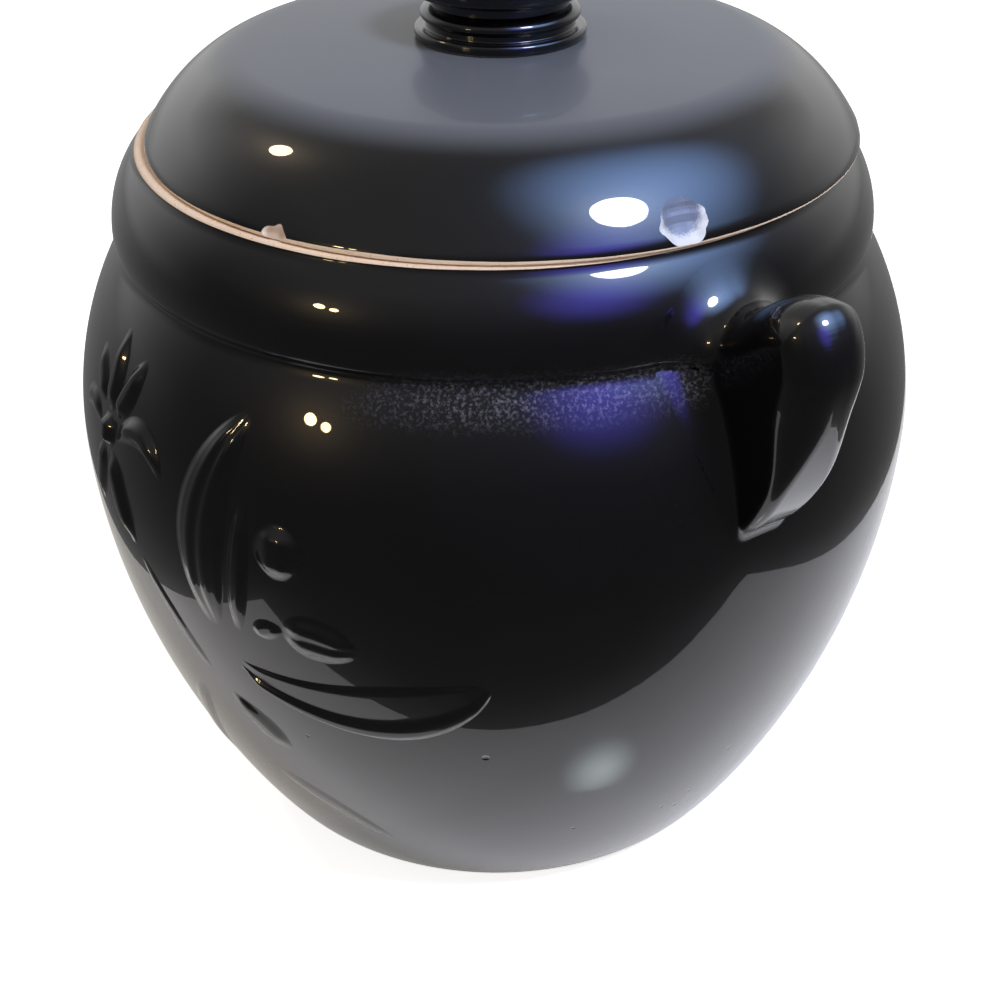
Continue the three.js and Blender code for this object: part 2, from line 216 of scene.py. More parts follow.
def outside_at(height):
    """The jar's outside at a height: its point as radius and height, and the way that it faces."""
    above = min(max(bisect.bisect_right(seating_heights, height), 3), len(seating) - 2)
    lower = seating[above - 1]
    upper = seating[above]
    share = (height - lower.y) / (upper.y - lower.y)
    run = (upper - seating[above - 2]).lerp(seating[above + 1] - lower, share)
    return lower.lerp(upper, share), Vector((run.y, -run.x)).normalized()


# Black stoneware glaze, fired to a pool: a clear glassy skin over a black that scatters a little light, so
# mirror reflections lie over a soft haze, whose bluish tint is painted by the glow cards of the studio. The
# skin waves slightly, and has pits, dust and painted glints.
GLAZE_WAVE = 0.028
GLAZE_WAVE_DEPTH = 0.00012
GLAZE_PEEL = 0.003
GLAZE_PEEL_DEPTH = 0.000004
GLAZE_PIT_DEPTH = 0.0004
# Pale specks lie in a band below the crease, kept to the side that faces the camera and the main lamp:
# partly dust, and partly painted glints where the lamp's highlight catches it. Above a height, the level
# top of the lid is drawn as a paler, less glossy grey film. The specks' grain is too fine to show in the
# render, so it is drawn 0.8 mm wide.
DUST_GRAIN = 0.0008
DUST_SPARSE = 0.49
DUST_DENSE = 0.75
DUST_LEAST = 0.02
DUST_MOST = 1.3
DUST_BAND_HEIGHT = 0.1708
DUST_BAND_WIDTH = 0.0072
# The side of the shoulder that faces the camera and the main lamp, where the specks are painted glints.
DUST_GLINT_SIDE = (0.9135, -0.4067, 0)
DUST_GLINT_SIDE_START = 0.088
DUST_GLINT_SIDE_FULL = 0.102
DUST_RADIUS = 0.1045
DUST_FADE = 0.0025
FILM_LOW = 0.2145
FILM_FULL = 0.219
FILM_HIGH = 0.2195
FILM_SHARE = 0.9
FILM_COAT = 0.02
# Pits in the glaze, each by its azimuth in degrees, its height and its radius.
GLAZE_PITS = (
    (-33.7, 0.0783, 0.0011),
    (-20.5, 0.0396, 0.0007),
    (-5.0, 0.0377, 0.0007),
    (-1.8, 0.0348, 0.0008),
    (-0.4, 0.0408, 0.0007),
    (4.0, 0.0565, 0.0006),
    (-58.0, 0.0755, 0.0006),
    (150.0, 0.0620, 0.0008),
    (214.0, 0.0910, 0.0007),
)

glaze = bpy.data.materials.new("black_stoneware_glaze")
glaze.use_nodes = True
tree = glaze.node_tree
place = add_node(tree, "ShaderNodeTexCoord").outputs["Object"]
waves = add_node(tree, "ShaderNodeTexNoise", {"Vector": place, "Scale": 1 / GLAZE_WAVE, "Detail": 1})
peel = add_node(tree, "ShaderNodeTexNoise", {"Vector": place, "Scale": 1 / GLAZE_PEEL, "Detail": 1})
pit_depth = None
for azimuth, height, size in GLAZE_PITS:
    radius = outside_at(height)[0].x
    middle = (radius * math.cos(math.radians(azimuth)), radius * math.sin(math.radians(azimuth)), height)
    away = add_node(tree, "ShaderNodeVectorMath", {0: place, 1: middle}, operation="DISTANCE")
    sunk = add_node(
        tree,
        "ShaderNodeMapRange",
        {"Value": away.outputs["Value"], "From Min": size / 3, "From Max": size, "To Min": 1, "To Max": 0},
        interpolation_type="SMOOTHSTEP",
    )
    if pit_depth is None:
        pit_depth = sunk.outputs["Result"]
    else:
        pits = {0: pit_depth, 1: sunk.outputs["Result"]}
        pit_depth = add_node(tree, "ShaderNodeMath", pits, operation="MAXIMUM").outputs["Value"]
patches = add_node(tree, "ShaderNodeTexNoise", {"Vector": place, "Scale": 1 / GLAZE_WAVE, "Detail": 3})
grains = add_node(
    tree,
    "ShaderNodeTexNoise",
    {"Vector": place, "Scale": 1 / DUST_GRAIN, "Detail": 3, "Roughness": 0.7},
)
grainy = add_node(
    tree,
    "ShaderNodeMapRange",
    {
        "Value": grains.outputs["Fac"],
        "From Min": DUST_SPARSE,
        "From Max": DUST_DENSE,
        "To Min": DUST_LEAST,
        "To Max": DUST_MOST,
    },
)
height_here = add_node(tree, "ShaderNodeSeparateXYZ", {"Vector": place}).outputs["Z"]
off_band = add_node(tree, "ShaderNodeMath", {0: height_here, 1: DUST_BAND_HEIGHT}, operation="SUBTRACT")
off_band = add_node(tree, "ShaderNodeMath", {0: off_band.outputs["Value"]}, operation="ABSOLUTE")
in_band = add_node(
    tree,
    "ShaderNodeMapRange",
    {"Value": off_band.outputs["Value"], "From Max": DUST_BAND_WIDTH, "To Min": 1, "To Max": 0},
    interpolation_type="SMOOTHSTEP",
)
# Painted glints: the pale specks are kept to the side that faces the main lamp.
sideways = add_node(tree, "ShaderNodeVectorMath", {0: place, 1: DUST_GLINT_SIDE}, operation="DOT_PRODUCT")
level_place = add_node(tree, "ShaderNodeVectorMath", {0: place, 1: (1, 1, 0)}, operation="MULTIPLY")
off_axis = add_node(tree, "ShaderNodeVectorMath", {0: level_place.outputs["Vector"]}, operation="LENGTH")
on_wall = add_node(
    tree,
    "ShaderNodeMapRange",
    {
        "Value": off_axis.outputs["Value"],
        "From Min": DUST_RADIUS - DUST_FADE,
        "From Max": DUST_RADIUS,
        "To Min": 1,
        "To Max": 0,
    },
)
glint_side = add_node(
    tree,
    "ShaderNodeMapRange",
    {"Value": sideways.outputs["Value"], "From Min": DUST_GLINT_SIDE_START, "From Max": DUST_GLINT_SIDE_FULL},
)
dust_and_glints = add_node(
    tree,
    "ShaderNodeMath",
    {0: in_band.outputs["Result"], 1: glint_side.outputs["Result"]},
    operation="MULTIPLY",
)
for mask in (grainy.outputs["Result"], patches.outputs["Fac"], on_wall.outputs["Result"]):
    dust_and_glints = add_node(tree, "ShaderNodeMath", {0: dust_and_glints.outputs["Value"], 1: mask}, operation="MULTIPLY")
black = add_node(
    tree,
    "ShaderNodeMix",
    {"Factor": patches.outputs["Fac"], COLOUR_A: linear("#040304"), COLOUR_B: linear("#0a080b")},
    data_type="RGBA",
)
# The pale speck colour: partly dust, partly painted glints of the lamp's highlight.
skin = add_node(
    tree,
    "ShaderNodeMix",
    {"Factor": dust_and_glints.outputs["Value"], COLOUR_A: black.outputs[MIXED], COLOUR_B: linear("#a3a4b8")},
    data_type="RGBA",
)
# The level top of the lid, above a height and below the knob, is drawn in a paler grey with almost no clear
# coat.
risen = add_node(
    tree,
    "ShaderNodeMapRange",
    {"Value": height_here, "From Min": FILM_LOW, "From Max": FILM_FULL, "To Max": FILM_SHARE},
    interpolation_type="SMOOTHSTEP",
)
below_knob = add_node(tree, "ShaderNodeMath", {0: height_here, 1: FILM_HIGH}, operation="LESS_THAN")
film = add_node(
    tree,
    "ShaderNodeMath",
    {0: risen.outputs["Result"], 1: below_knob.outputs["Value"]},
    operation="MULTIPLY",
)
filmed = add_node(
    tree,
    "ShaderNodeMix",
    {"Factor": film.outputs["Value"], COLOUR_A: skin.outputs[MIXED], COLOUR_B: linear("#676c76")},
    data_type="RGBA",
)
clearness = add_node(
    tree,
    "ShaderNodeMapRange",
    {"Value": film.outputs["Value"], "To Min": 1, "To Max": FILM_COAT},
)
rolling = add_node(
    tree,
    "ShaderNodeBump",
    {"Strength": 1, "Distance": GLAZE_WAVE_DEPTH, "Height": waves.outputs["Fac"]},
)
pebbled = add_node(
    tree,
    "ShaderNodeBump",
    {
        "Strength": 1,
        "Distance": GLAZE_PEEL_DEPTH,
        "Height": peel.outputs["Fac"],
        "Normal": rolling.outputs["Normal"],
    },
)
pitted = add_node(
    tree,
    "ShaderNodeBump",
    {
        "Strength": 1,
        "Distance": GLAZE_PIT_DEPTH,
        "Height": pit_depth,
        "Normal": pebbled.outputs["Normal"],
    },
    invert=True,
)
shader = tree.nodes["Principled BSDF"]
shader.inputs["Roughness"].default_value = 0.3
shader.inputs["IOR"].default_value = 1.5
shader.inputs["Specular IOR Level"].default_value = 0.12
shader.inputs["Coat Roughness"].default_value = 0.02
shader.inputs["Coat IOR"].default_value = 1.46
tree.links.new(filmed.outputs[MIXED], shader.inputs["Base Color"])
tree.links.new(clearness.outputs["Result"], shader.inputs["Coat Weight"])
tree.links.new(pitted.outputs["Normal"], shader.inputs["Normal"])
tree.links.new(pitted.outputs["Normal"], shader.inputs["Coat Normal"])

# Bare fired clay, wiped clean of glaze: matt, finely grained, pinkish cream with iron specks.
CLAY_GRAIN = 0.0006
CLAY_CLOUD = 0.012
CLAY_GRIT = 0.0001
IRON_START = 0.62
IRON_FULL = 0.72
IRON_SHARE = 0.6

clay = bpy.data.materials.new("bare_stoneware_clay")
clay.use_nodes = True
tree = clay.node_tree
place = add_node(tree, "ShaderNodeTexCoord").outputs["Object"]
grain = add_node(tree, "ShaderNodeTexNoise", {"Vector": place, "Scale": 1 / CLAY_GRAIN, "Detail": 4})
clouds = add_node(tree, "ShaderNodeTexNoise", {"Vector": place, "Scale": 1 / CLAY_CLOUD, "Detail": 3})
ground = add_node(
    tree,
    "ShaderNodeMix",
    {"Factor": clouds.outputs["Fac"], COLOUR_A: linear("#d9bb9f"), COLOUR_B: linear("#f2e0ca")},
    data_type="RGBA",
)
iron = add_node(
    tree,
    "ShaderNodeMapRange",
    {"Value": grain.outputs["Fac"], "From Min": IRON_START, "From Max": IRON_FULL, "To Max": IRON_SHARE},
)
speckled = add_node(
    tree,
    "ShaderNodeMix",
    {"Factor": iron.outputs["Result"], COLOUR_A: ground.outputs[MIXED], COLOUR_B: linear("#8a5f49")},
    data_type="RGBA",
)
gritty = add_node(
    tree,
    "ShaderNodeBump",
    {"Strength": 0.6, "Distance": CLAY_GRIT, "Height": grain.outputs["Fac"]},
)
shader = tree.nodes["Principled BSDF"]
shader.inputs["Roughness"].default_value = 0.85
tree.links.new(speckled.outputs[MIXED], shader.inputs["Base Color"])
tree.links.new(gritty.outputs["Normal"], shader.inputs["Normal"])

rim = outside[-1]
mouth_radius = RIM_RADIUS - RIM_WIDTH
outline = list(outside)
outline += curve_points([rim, (rim.x, rim_height), (rim.x - RIM_ROUND, rim_height)], RIM_ROUND / 3)
inner = Vector((mouth_radius, rim_height - RIM_ROUND))
outline.append(Vector((mouth_radius + RIM_ROUND, rim_height)))
outline += curve_points([outline[-1], (mouth_radius, rim_height), inner], RIM_ROUND / 3)
outline += curve_points([inner, (mouth_radius, rim_height - MOUTH_DEPTH)], PROFILE_PITCH)
outline += reversed(belly_outline(WALL, base_height + FLOOR, 2 * PROFILE_PITCH))

body = turned("body_shell", outline, TURN_STEPS)
body.data.materials.append(glaze)
body.data.materials.append(clay)
for face in body.data.polygons:
    radius = math.hypot(face.center.x, face.center.y)
    if face.center.z > rim.y + RIM_GLAZED and radius > mouth_radius - SAME_POINT:
        face.material_index = 1
for vertex in body.data.vertices:
    if rim.y + RIM_GLAZED / 2 < vertex.co.z < rim_height - SAME_POINT:
        vertex.co.z += GLAZE_WANDER / 2 * wander(math.atan2(vertex.co.y, vertex.co.x), 1.7)
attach(body, "jar")
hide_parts("jar_body")


# Foot ring
# The low unglazed ring that the jar stands on, turned from the same clay and ground flat below.
foot_low, foot_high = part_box("foot_ring")
FOOT_WIDTH = 0.007
FOOT_BEVEL = 0.0006


def ring_outline(radius, width, top, foot, bevel):
    """The section of a plain ring, bevelled below, from the top of its outside and back to it."""
    inside = radius - width
    corners = (
        (radius, top),
        (radius, foot + bevel),
        (radius - bevel, foot),
        (inside + bevel, foot),
        (inside, foot + bevel),
        (inside, top),
        (radius, top),
    )
    return [Vector(corner) for corner in corners]


foot_outline = ring_outline(foot_high.x, FOOT_WIDTH, base_height + FOOT_BEVEL, foot_low.z, FOOT_BEVEL)
foot = turned("foot_ring_clay", foot_outline, TURN_STEPS)
foot.data.materials.append(clay)
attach(foot, "jar")
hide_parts("foot_ring")


# Ears
# The two solid lugs that the jar is lifted by: pressed from clay, luted on over the crease, their roots
# smoothed into the wall with a wet finger, and glazed with the jar.
EAR_REACH = 0.0345
EAR_TIP_RISE = 0.007
EAR_CREST_REACH = 0.0265
EAR_CREST_RISE = 0.0215
EAR_ROOT_RISE = 0.01
EAR_DROP = 0.0405
EAR_HEEL = 0.016
EAR_TOP_THICKNESS = 0.0195
EAR_FOOT_THICKNESS = 0.0135
EAR_TOP_ROUNDNESS = 0.92
EAR_FOOT_ROUNDNESS = 0.35
EAR_ROUND_SHARE = 0.6
EAR_FILLET = 0.01
EAR_FOOT_FILLET = 0.0022
EAR_PITCH = 0.001
EAR_GRAIN = 0.0006
EAR_BED_HALF_WIDTH = 0.026
EAR_BED_MARGIN = 0.018
EAR_BED_STEPS = 60
EAR_BED_DEPTH = 0.012
EAR_TRIM = 0.0003
EAR_SINK = 0.000012
EAR_SETTLES = 7
EAR_FEELER = 0.00005
EAR_LEAST_STEEPNESS = 0.1
EAR_FADE_START = 0.6

ear_root = outside_at(CREASE_HEIGHT + EAR_ROOT_RISE)[0] - Vector((WALL / 2, 0))
ear_heel = outside_at(CREASE_HEIGHT - EAR_DROP)[0] - Vector((WALL / 2, 0))
ear_crest = Vector((CREASE_RADIUS + EAR_CREST_REACH, CREASE_HEIGHT + EAR_CREST_RISE))
ear_tip = Vector((CREASE_RADIUS + EAR_REACH, CREASE_HEIGHT + EAR_TIP_RISE))
ear_brow = (ear_root.x + ear_crest.x) / 2
ear_edge = [Vector((mouth_radius, ear_heel.y - (ear_heel.x - mouth_radius) / 2))]
ear_edge += [Vector((mouth_radius, ear_root.y)), ear_root]
ear_edge += curve_points([ear_root, (ear_brow, ear_root.y), (ear_brow, ear_crest.y), ear_crest], EAR_PITCH)
ear_edge += curve_points(
    [
        ear_crest,
        ((ear_crest.x + ear_tip.x) / 2, ear_crest.y),
        (ear_tip.x, (ear_crest.y + ear_tip.y) / 2),
        ear_tip,
    ],
    EAR_PITCH,
)
ear_edge += curve_points(
    [
        ear_tip,
        ear_tip - Vector((0, EAR_HEEL / 4)),
        ear_heel + Vector((EAR_HEEL, EAR_HEEL / 2)),
        ear_heel,
    ],
    EAR_PITCH,
)
ear_corners = np.array([tuple(point) for point in ear_edge])
ear_sides = np.roll(ear_corners, -1, axis=0) - ear_corners
jar_heights = np.array(seating_heights)
jar_radii = np.array([point.x for point in seating])


def off_jar(places):
    """How far places stand off the jar's outside, level with them."""
    return np.hypot(places[:, 0], places[:, 1]) - np.interp(places[:, 2], jar_heights, jar_radii)


def off_ear(places):
    """How far places stand off the right ear, a lug with rounded edges, before its root is smoothed."""
    flat = places[:, None, (0, 2)] - ear_corners
    along = np.clip((flat * ear_sides).sum(axis=2) / (ear_sides**2).sum(axis=1), 0, 1)
    nearest = np.sqrt(((flat - along[:, :, None] * ear_sides) ** 2).sum(axis=2).min(axis=1))
    level = -flat[:, :, 1]
    straddles = (level <= 0) != (level + ear_sides[:, 1] <= 0)
    slope = np.where(ear_sides[:, 1] == 0, 1, ear_sides[:, 1])
    passed = straddles & (flat[:, :, 0] < -level * ear_sides[:, 0] / slope)
    edge_gap = np.where(passed.sum(axis=1) % 2 == 1, -nearest, nearest)
    fall = np.clip((CREASE_HEIGHT - places[:, 2]) / EAR_DROP, 0, 1)
    half = (EAR_TOP_THICKNESS + (EAR_FOOT_THICKNESS - EAR_TOP_THICKNESS) * fall) / 2
    sharper = np.clip(fall / EAR_ROUND_SHARE, 0, 1)
    sharper = sharper * sharper * (3 - 2 * sharper)
    turn = half * (EAR_TOP_ROUNDNESS + (EAR_FOOT_ROUNDNESS - EAR_TOP_ROUNDNESS) * sharper)
    beyond_edge = edge_gap + turn
    beyond_side = np.abs(places[:, 1]) - half + turn
    corner = np.hypot(np.maximum(beyond_edge, 0), np.maximum(beyond_side, 0))
    return np.minimum(np.maximum(beyond_edge, beyond_side), 0) + corner - turn


def ear_fillet(places):
    """How wide the fillet at the ear's root is, from narrow at the heel to wide at the crease."""
    climb = np.clip((places[:, 2] - ear_heel.y) / EAR_DROP, 0, 1)
    return EAR_FOOT_FILLET + (EAR_FILLET - EAR_FOOT_FILLET) * climb * climb * (3 - 2 * climb)


def off_joined(places):
    """How far places stand off the jar and ear together, with a fillet between them."""
    jar_gap = off_jar(places)
    ear_gap = off_ear(places)
    fillet = ear_fillet(places)
    shared = np.maximum(fillet - np.abs(jar_gap - ear_gap), 0) / fillet
    faded = np.clip((ear_gap / fillet - EAR_FADE_START) / (1 - EAR_FADE_START), 0, 1)
    return np.minimum(jar_gap, ear_gap) - shared**2 * fillet / 4 + EAR_SINK * faded


def uphill(places):
    """How far places stand off the jar and ear together, and which way and how fast that grows."""
    gap = off_joined(places)
    ways = [(off_joined(places + EAR_FEELER * axis) - gap) / EAR_FEELER for axis in np.eye(3)]
    return gap, np.stack(ways, axis=1)


def settled(places):
    """Places brought on to the skin of the jar and ear together, by the shortest way."""
    for _ in range(EAR_SETTLES):
        gap, steepest = uphill(places)
        steepness = np.maximum((steepest**2).sum(axis=1), EAR_LEAST_STEEPNESS)
        places = places - steepest * (gap / steepness)[:, None]
    return places


bpy.ops.object.select_all(action="DESELECT")
bpy.ops.mesh.primitive_grid_add(x_subdivisions=EAR_BED_STEPS, y_subdivisions=2 * EAR_BED_STEPS, size=2)
ear = bpy.context.object
ear.name = "right_ear_lug"
ear.data.name = ear.name
bed_low = ear_heel.y - EAR_BED_MARGIN
bed_high = ear_root.y + EAR_BED_MARGIN
for vertex in ear.data.vertices:
    across = vertex.co.x * EAR_BED_HALF_WIDTH
    height = bed_low + (bed_high - bed_low) * (vertex.co.y + 1) / 2
    vertex.co = (math.sqrt(outside_at(height)[0].x ** 2 - across**2), across, height)
bpy.ops.object.mode_set(mode="EDIT")
bpy.ops.mesh.select_all(action="SELECT")
bpy.ops.mesh.extrude_region_move(TRANSFORM_OT_translate={"value": (-EAR_BED_DEPTH, 0, 0)})
bpy.ops.mesh.select_all(action="SELECT")
bpy.ops.mesh.normals_make_consistent(inside=False)
bpy.ops.object.mode_set(mode="OBJECT")

bpy.ops.object.select_all(action="DESELECT")
bpy.ops.mesh.primitive_plane_add(size=1)
lug = bpy.context.object
bpy.ops.object.mode_set(mode="EDIT")
bpy.ops.mesh.merge(type="CENTER")
bpy.ops.transform.translate(value=(ear_edge[0].x, -EAR_FOOT_THICKNESS / 2, ear_edge[0].y))
for here, there in zip(ear_edge, ear_edge[1:] + ear_edge[:1]):
    step = (there.x - here.x, 0, there.y - here.y)
    bpy.ops.mesh.extrude_vertices_move(TRANSFORM_OT_translate={"value": step})
bpy.ops.mesh.select_all(action="SELECT")
bpy.ops.mesh.extrude_region_move(TRANSFORM_OT_translate={"value": (0, EAR_FOOT_THICKNESS, 0)})
bpy.ops.mesh.select_all(action="SELECT")
bpy.ops.mesh.remove_doubles(threshold=SAME_POINT)
bpy.ops.mesh.fill_holes(sides=0)
bpy.ops.mesh.select_all(action="SELECT")
bpy.ops.mesh.normals_make_consistent(inside=False)
bpy.ops.object.mode_set(mode="OBJECT")
ear.select_set(True)
bpy.context.view_layer.objects.active = ear
bpy.ops.object.join()
welded = ear.modifiers.new("welded", "REMESH")
welded.mode = "VOXEL"
welded.voxel_size = EAR_GRAIN
bpy.ops.object.modifier_apply(modifier=welded.name)

places = np.array([tuple(vertex.co) for vertex in ear.data.vertices])
spare = (off_jar(places) < -EAR_TRIM) | (off_ear(places) > ear_fillet(places))
bpy.ops.object.mode_set(mode="EDIT")
bpy.ops.mesh.select_all(action="DESELECT")
bpy.ops.object.mode_set(mode="OBJECT")
ear.data.vertices.foreach_set("select", spare)
bpy.ops.object.mode_set(mode="EDIT")
bpy.ops.mesh.delete(type="VERT")
bpy.ops.object.mode_set(mode="OBJECT")
places = settled(np.array([tuple(vertex.co) for vertex in ear.data.vertices]))
ear.data.vertices.foreach_set("co", places.ravel())
ear.data.update()
bpy.ops.object.shade_smooth()
facing = uphill(places)[1]
facing /= np.linalg.norm(facing, axis=1)[:, None]
ear.data.normals_split_custom_set_from_vertices(facing.tolist())
ear.data.materials.clear()
ear.data.materials.append(glaze)
twin = bpy.data.objects.new("left_ear_lug", ear.data.copy())
twin.data.name = twin.name
twin.data.transform(Matrix.Rotation(math.pi, 4, "Z"))
bpy.context.scene.collection.objects.link(twin)
for piece, node in ((ear, "right_ear"), (twin, "left_ear")):
    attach(piece, "jar")
    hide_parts(node)


# Floral spray
# Leaves, buds and petals of soft clay, pressed in moulds and sprigged on to the front before glazing.
# The glaze has pooled round them, so their edges melt into the belly.
FRONT = -math.pi / 2
FIELD_RADIUS = 0.1131
FIELD_HEIGHT = 0.1707
FIELD_LEFT_SHIFT = 0.016
SPRIG_SEAT = 0.0003
SPRIG_POINT = 0.0007
SPRIG_MELT = 0.48
SPRIG_SKIRT = 0.0012
SPRIG_SINK = 0.00003
SPRIG_BED = -0.001
SPRIG_END_SHARPNESS = 7
SPRIG_SMOOTH_ANGLE = math.radians(60)
SPRIG_RIBS = 36
SPRIG_RINGS = 64
LEAF_FULLNESS = 0.7
BUD_FULLNESS = 0.5
SPRIG_PLATEAU = 0.12
LEAF_PLATEAU = {"long_leaf": 0.66, "tall_leaf": 0.35}
BUDS = ("round_bud", "almond_bud", "flower_heart")
# Each sprig: its name, its spine on the spray's flat field, its width, the share of its length where it
# is widest, and its crown. The side sprigs are made twice, as a mirrored pair.
SIDE_SPRIGS = (
    ("long_leaf", ((0.048, 0.0925), (0.087, 0.081), (0.1115, 0.1)), 0.017, 0.58, 0.003),
    ("narrow_leaf", ((0.0495, 0.105), (0.052, 0.122), (0.054, 0.141)), 0.0046, 0.5, 0.0022),
    ("round_bud", ((0.0635, 0.125), (0.0635, 0.1315), (0.0635, 0.138)), 0.0124, 0.5, 0.0034),
    ("almond_bud", ((0.0635, 0.1098), (0.072, 0.11), (0.0815, 0.108)), 0.012, 0.45, 0.0034),
    ("bud_sepal", ((0.055, 0.1066), (0.058, 0.1085), (0.0623, 0.1098)), 0.0044, 0.5, 0.0009),
    ("stub_leaf", ((0.04, 0.0775), (0.047, 0.071), (0.055, 0.063)), 0.009, 0.6, 0.0016),
    ("low_leaf", ((0.043, 0.047), (0.062, 0.041), (0.08, 0.024)), 0.007, 0.45, 0.0002),
)
LONE_SPRIGS = (
    ("flower_heart", ((0, 0.1352), (0, 0.139), (0, 0.1428)), 0.0076, 0.5, 0.0034),
    ("top_petal", ((0, 0.1445), (0.0015, 0.152), (0.0005, 0.1635)), 0.007, 0.45, 0.0026),
    ("right_petal", ((0.0046, 0.145), (0.0075, 0.149), (0.0135, 0.16)), 0.0065, 0.5, 0.0026),
    ("left_petal", ((-0.0046, 0.145), (-0.0075, 0.149), (-0.012, 0.156)), 0.006, 0.5, 0.0016),
    ("right_curl", ((0.0055, 0.1385), (0.018, 0.151), (0.026, 0.1375)), 0.006, 0.5, 0.0028),
    ("left_curl", ((-0.0055, 0.1385), (-0.013, 0.146), (-0.019, 0.138)), 0.005, 0.5, 0.0013),
    ("right_drop_petal", ((0.0025, 0.134), (0.006, 0.126), (0.0115, 0.1125)), 0.008, 0.45, 0.0028),
    ("left_drop_petal", ((-0.0025, 0.134), (-0.005, 0.127), (-0.008, 0.116)), 0.006, 0.45, 0.0016),
    ("right_tall_leaf", ((0.0415, 0.103), (0.036, 0.139), (0.0525, 0.1595)), 0.0145, 0.42, 0.003),
    ("left_tall_leaf", ((-0.092, 0.119), (-0.104, 0.132), (-0.097, 0.157)), 0.013, 0.42, 0.0026),
    ("flower_stem", ((0.0345, 0.0825), (0.026, 0.095), (0.0132, 0.1108)), 0.0034, 0.5, 0.0001),
    ("root_leaf", ((0.026, 0.072), (0.014, 0.058), (0.01, 0.03)), 0.008, 0.5, 0.0006),
)
SPRIG_VEINS = {"tall_leaf": (2, 0.0003), "almond_bud": (1, 0.0005)}
SPRIG_LIPS = {"long_leaf": 0.001}
LIP_FOOT = 0.12
LIP_WIDTH = 0.4


def melted(off, plateau):
    """The height left at a share of the way from the middle of a sprig to its edge."""
    slope = min(max((off - plateau) / (1 - plateau), 0), 1)
    return 0.5 + 0.5 * math.cos(math.pi * slope)


def on_jar(along, up, proud):
    """A place on the jar's front, from its place on the spray's flat field and how far it stands proud."""
    height = base_height + up * (CREASE_FOOT - base_height) / FIELD_HEIGHT
    point, facing = outside_at(height)
    point = point + facing * proud
    azimuth = FRONT + along / FIELD_RADIUS
    return Vector((point.x * math.cos(azimuth), point.x * math.sin(azimuth), point.y))


def sprig(node, spine, width, peak, crown):
    """A leaf, petal or bud along a bent spine, crowned across its width and melted at its edge."""
    kind = node.removeprefix("right_").removeprefix("left_")
    fullness = BUD_FULLNESS if kind in BUDS else LEAF_FULLNESS
    plateau = LEAF_PLATEAU.get(kind, SPRIG_PLATEAU)
    veins, vein_depth = SPRIG_VEINS.get(kind, (0, 0))
    lip = SPRIG_LIPS.get(kind, 0)
    lower_side = -1 if node.startswith("left_") else 1
    bpy.ops.object.select_all(action="DESELECT")
    bpy.ops.mesh.primitive_grid_add(x_subdivisions=SPRIG_RIBS, y_subdivisions=SPRIG_RINGS, size=2)
    piece = bpy.context.object
    piece.name = node + "_sprig"
    piece.data.name = piece.name
    bpy.ops.object.mode_set(mode="EDIT")
    bpy.ops.mesh.select_all(action="SELECT")
    bpy.ops.mesh.extrude_region_move(TRANSFORM_OT_translate={"value": (0, 0, -1)})
    bpy.ops.object.mode_set(mode="OBJECT")
    root, bend, tip = [Vector(place) for place in spine]
    lean = math.log(0.5) / math.log(peak)
    for vertex in piece.data.vertices:
        across = vertex.co.x
        along = (1 - math.cos(math.pi * (vertex.co.y + 1) / 2)) / 2
        end = 2 * along - 1
        swell = max(math.sin(math.pi * along**lean), 0)
        half_width = max(SPRIG_POINT, swell**fullness * width / 2) + SPRIG_SKIRT
        middle = root.lerp(bend, along).lerp(bend.lerp(tip, along), along)
        run = (bend - root).lerp(tip - bend, along).normalized()
        spot = middle + Vector((run.y, -run.x)) * across * half_width
        spot += run * end * abs(end) ** SPRIG_END_SHARPNESS * SPRIG_SKIRT
        groove = vein_depth * math.cos(math.pi * veins * across) ** 2
        groove += lip * melted(lower_side * across - LIP_FOOT + 1 - LIP_WIDTH, 1 - LIP_WIDTH)
        melt = melted(end**2, plateau) * melted(abs(across), plateau)
        rise = melt * (SPRIG_SEAT + SPRIG_MELT * crown - groove)
        proud = rise - SPRIG_SINK if vertex.co.z > -0.5 else SPRIG_BED
        vertex.co = on_jar(spot.x, spot.y, proud)
    bpy.ops.object.mode_set(mode="EDIT")
    bpy.ops.mesh.select_all(action="SELECT")
    bpy.ops.mesh.normals_make_consistent(inside=False)
    bpy.ops.object.mode_set(mode="OBJECT")
    bpy.ops.object.shade_smooth_by_angle(angle=SPRIG_SMOOTH_ANGLE)
    piece.data.materials.append(glaze)
    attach(piece, "jar")
    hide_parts(node)


for kind, spine, width, peak, crown in SIDE_SPRIGS:
    mirrored = [(-along - FIELD_LEFT_SHIFT, up) for along, up in spine]
    sprig("right_" + kind, spine, width, peak, crown)
    sprig("left_" + kind, mirrored, width, peak, crown)
for node, spine, width, peak, crown in LONE_SPRIGS:
    sprig(node, spine, width, peak, crown)


# Lid
# The domed lid, turned with a level crown, glazed black over a wiped, bare lower edge.
# Use has knocked two flakes off that edge, and the clay shows in the breaks.
lid_low, lid_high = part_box("lid_dome")
lid_centre = ((lid_low.x + lid_high.x) / 2, (lid_low.y + lid_high.y) / 2)
lid_radius = (lid_high.x - lid_low.x) / 2
lid_seat = lid_low.z
lid_top = lid_high.z
LID_BARE_EDGE = 0.0011
LID_EDGE_ROUND = 0.0004
LID_BARE_MIDDLE = math.radians(-50)
LID_BARE_SPREAD = math.radians(32)
LID_BARE_LEAST = 0.15
LID_EDGE_SLOPE = math.radians(59)
LID_EDGE_RUN = 0.0142
LID_CROWN_RADIUS = 0.0638
LID_CROWN_RUN = 0.008
LID_CROWN_DROP = 0.0011
LID_CROWN_SLOPE = math.radians(4)
LID_TOP_RADIUS = 0.02
LID_SEAT_WIDTH = 0.008
LID_WALL = 0.006

